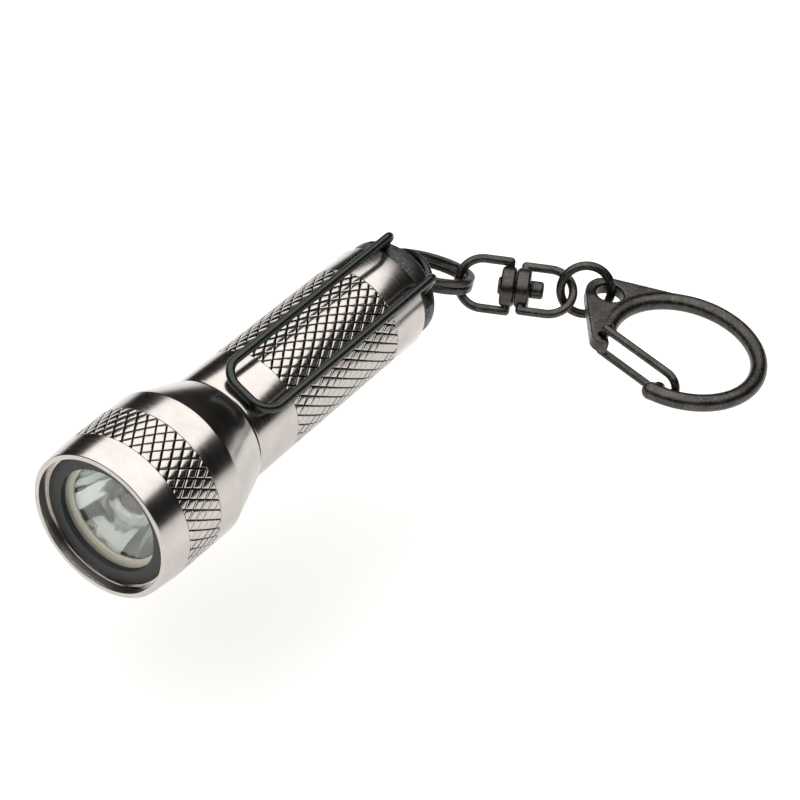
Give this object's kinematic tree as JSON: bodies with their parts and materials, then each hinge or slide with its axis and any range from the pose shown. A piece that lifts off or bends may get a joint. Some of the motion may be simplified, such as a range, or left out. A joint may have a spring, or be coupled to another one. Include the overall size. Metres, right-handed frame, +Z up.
{
  "type": "keychain flashlight",
  "caption": "Small metal flashlight with knurled head and barrel, wire pocket clip, and a tail loop carrying a split ring, swivel, jump ring and spring-gate hook.",
  "frame": {"origin": "centre of the front rim, on the light's own axis and in the plane of the rim", "axes": "+Y along the light from the front rim to the tail, lens facing -Y, +Z up as it lies on a table with its clip above"},
  "size_m": [0.0557, 0.0884, 0.0202],
  "materials": {
    "body_metal": "fine-turned, bright, with diamond knurls",
    "cap_black": "black anodised, satin, slightly mottled",
    "clip_black": "satin black coated wire",
    "chain_metal": "dark nickel plate, satin, faint cast texture on the hook",
    "lens_clear": "polished",
    "lamp_clear": "clear cast resin",
    "reflector_bright": "vacuum-metallised",
    "seal_cream": "matte",
    "retainer_black": "matte",
    "rubber_black": "matte",
    "cell_steel": "nickel-plated",
    "sleeve_plastic": "matte film",
    "spring_steel": "drawn wire",
    "holder_plastic": "moulded",
    "contact_brass": "stamped"
  },
  "bodies": {
    "barrel": {"barrel_tube": "body_metal", "neck_o_ring": "rubber_black", "insulating_sleeve": "sleeve_plastic", "cell_1": "cell_steel", "cell_2": "cell_steel", "cell_3": "cell_steel", "cell_4": "cell_steel", "tail_spring": "spring_steel", "tail_cap": "cap_black", "tail_o_ring": "rubber_black", "key_loop": "chain_metal"},
    "light_module": {"led_lamp": "lamp_clear", "led_leads": "spring_steel", "lamp_holder": "holder_plastic", "front_contact": "contact_brass", "ring_contact": "contact_brass"},
    "head": {"head_shell": "body_metal", "lens_retainer": "retainer_black", "lens": "lens_clear", "lens_seal": "seal_cream", "reflector": "reflector_bright"},
    "clip": {"wire_clip": "clip_black"},
    "split_ring": {"split_ring": "chain_metal"},
    "swivel_rear": {"rear_bail": "chain_metal", "rear_hub": "chain_metal", "swivel_pin": "chain_metal"},
    "swivel_front": {"front_hub": "chain_metal", "front_bail": "chain_metal"},
    "jump_ring": {"jump_ring": "chain_metal"},
    "hook": {"hook_body": "chain_metal"},
    "gate": {"hook_gate": "chain_metal"}
  },
  "joints": [
    {"name": "module_slide", "type": "slide", "parent": "barrel", "child": "light_module", "axis": [0, 1, 0], "range_m": [0, 0.00041]},
    {"name": "head_turn", "type": "hinge", "parent": "light_module", "child": "head", "pos_m": [0, 0, 0], "axis": [0, 1, 0], "range_deg": [0, 180]},
    {"name": "clip_flex", "type": "hinge", "parent": "barrel", "child": "clip", "pos_m": [0.00242, 0.0583, 0.00403], "axis": [-0.8572, 0, 0.515], "range_deg": [0, 12], "stiffness_Nm_per_rad": 0.05},
    {"name": "ring_turn", "type": "hinge", "parent": "barrel", "child": "split_ring", "pos_m": [0.00003, 0.06863, -0.0021], "axis": [0.0478, 0.3784, 0.9244], "range_deg": [-40, 40]},
    {"name": "swivel_tilt", "type": "hinge", "parent": "split_ring", "child": "swivel_rear", "pos_m": [0.00495, 0.07155, -0.00355], "axis": [-0.5505, 0.7822, -0.2917], "range_deg": [-15, 15]},
    {"name": "swivel_spin", "type": "hinge", "parent": "swivel_rear", "child": "swivel_front", "pos_m": [0.01051, 0.07414, -0.00389], "axis": [0.9049, 0.4221, -0.0548], "continuous": true},
    {"name": "jump_turn", "type": "hinge", "parent": "swivel_front", "child": "jump_ring", "pos_m": [0.01878, 0.07864, -0.00373], "axis": [0.5248, -0.8143, 0.2478], "range_deg": [-25, 25]},
    {"name": "hook_swing", "type": "hinge", "parent": "jump_ring", "child": "hook", "pos_m": [0.02159, 0.08026, -0.00437], "axis": [0.0356, 0.3119, 0.9495], "range_deg": [-15, 15]},
    {"name": "gate_open", "type": "hinge", "parent": "hook", "child": "gate", "pos_m": [0.02563, 0.07144, -0.00503], "axis": [0.1809, 0.0094, 0.9835], "range_deg": [0, 32], "stiffness_Nm_per_rad": 0.002}
  ],
  "couplings": [
    {"joint": "module_slide", "follows": "head_turn", "m_per_rad": 0.00012732}
  ]
}
